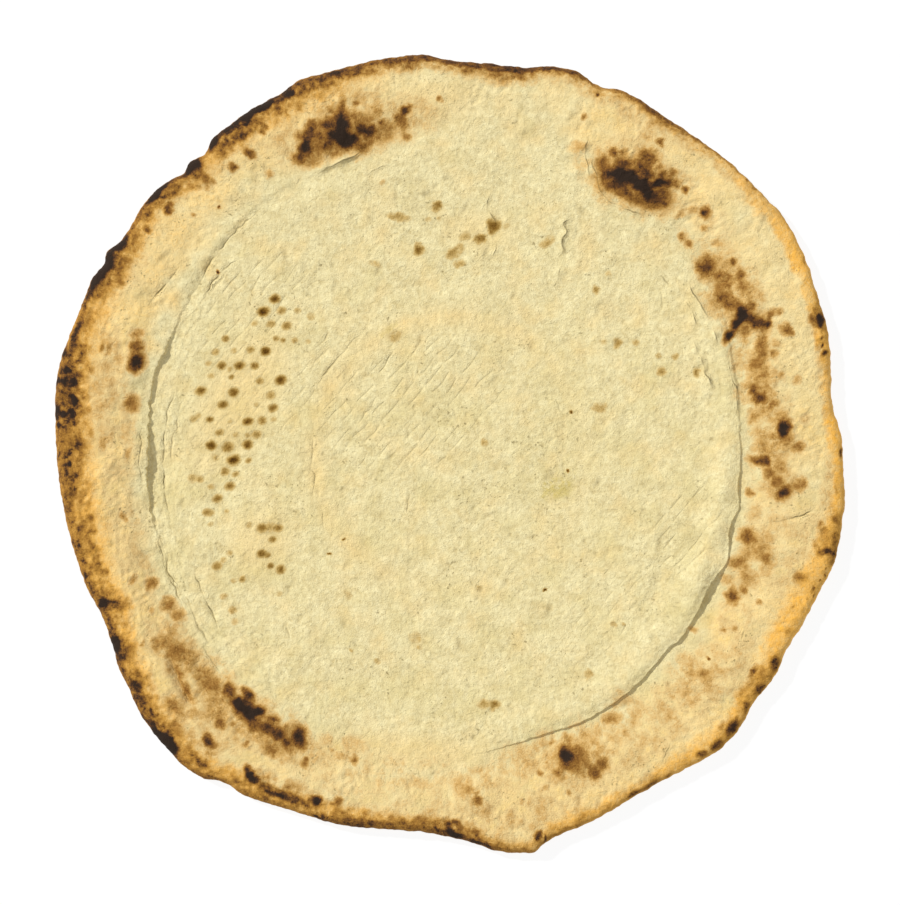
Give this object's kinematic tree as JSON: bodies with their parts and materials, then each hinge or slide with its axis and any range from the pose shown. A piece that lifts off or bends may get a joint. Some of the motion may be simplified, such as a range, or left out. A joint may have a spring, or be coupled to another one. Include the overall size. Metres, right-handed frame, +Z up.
{
  "type": "pizza base",
  "caption": "Thin round par-baked dough base with a pressed docked disc inside a broad, uneven, puffed and charred rim.",
  "frame": {"origin": "centre of the bounding box in X and Y, at the flat underside", "axes": "+Z up out of the top of the base, +X to the right and +Y to the far side as the base lies flat"},
  "size_m": [0.3004, 0.3036, 0.0125],
  "materials": {
    "baked_dough": "matt, floury and cream-coloured, toasted to brown and black on the rim's blisters and outer edge"
  },
  "bodies": {
    "root": {"pizza_base": "baked_dough"}
  },
  "joints": []
}
